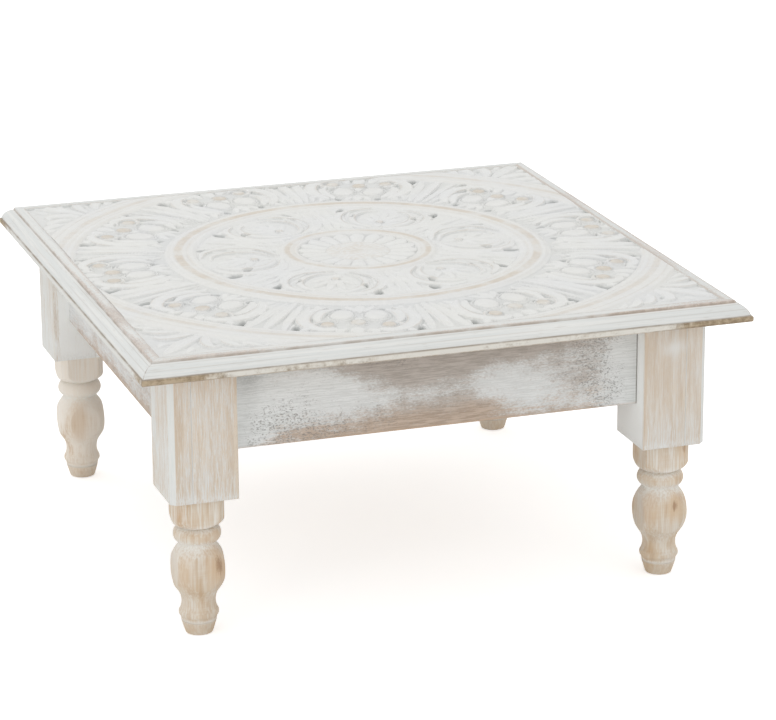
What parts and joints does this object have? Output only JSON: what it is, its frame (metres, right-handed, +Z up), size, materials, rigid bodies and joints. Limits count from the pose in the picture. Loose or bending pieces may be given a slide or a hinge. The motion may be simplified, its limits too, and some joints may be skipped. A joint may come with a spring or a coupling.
{
  "type": "bajot low table",
  "caption": "Low square whitewashed wooden table with a carved mandala top, a mitred moulding, aprons between square leg blocks, and turned feet.",
  "frame": {"origin": "middle of the floor under the table", "axes": "+Z up, +X to the right and +Y to the back as seen from the front; the top is square, so front and sides are alike in size"},
  "size_m": [0.6, 0.6, 0.288],
  "materials": {
    "carved_panel_wood": "whitewashed and rubbed, bare wood on the high edges",
    "moulding_wood": "whitewashed, worn brown along the nose and lip",
    "apron_wood": "grey whitewash, rubbed through in streaks",
    "leg_block_wood": "thin limewash over bare grain",
    "turned_foot_wood": "thin limewash over turned wood",
    "bare_wood": "bare sawn wood",
    "screw_steel": "plain zinc plated"
  },
  "bodies": {
    "root": {"carved_panel": "carved_panel_wood", "top_moulding_front": "moulding_wood", "apron_front": "apron_wood", "cleat_front": "bare_wood", "top_moulding_right": "moulding_wood", "apron_right": "apron_wood", "cleat_right": "bare_wood", "top_moulding_back": "moulding_wood", "apron_back": "apron_wood", "cleat_back": "bare_wood", "top_moulding_left": "moulding_wood", "apron_left": "apron_wood", "cleat_left": "bare_wood", "leg_core_front_left": "leg_block_wood", "leg_facing_front_left": "leg_block_wood", "turned_foot_front_left": "turned_foot_wood", "leg_core_front_right": "leg_block_wood", "leg_facing_front_right": "leg_block_wood", "turned_foot_front_right": "turned_foot_wood", "leg_core_back_right": "leg_block_wood", "leg_facing_back_right": "leg_block_wood", "turned_foot_back_right": "turned_foot_wood", "leg_core_back_left": "leg_block_wood", "leg_facing_back_left": "leg_block_wood", "turned_foot_back_left": "turned_foot_wood", "apron_dowels": "bare_wood", "leg_top_dowels": "bare_wood", "cleat_apron_screws": "screw_steel", "cleat_top_screws": "screw_steel"}
  },
  "joints": []
}
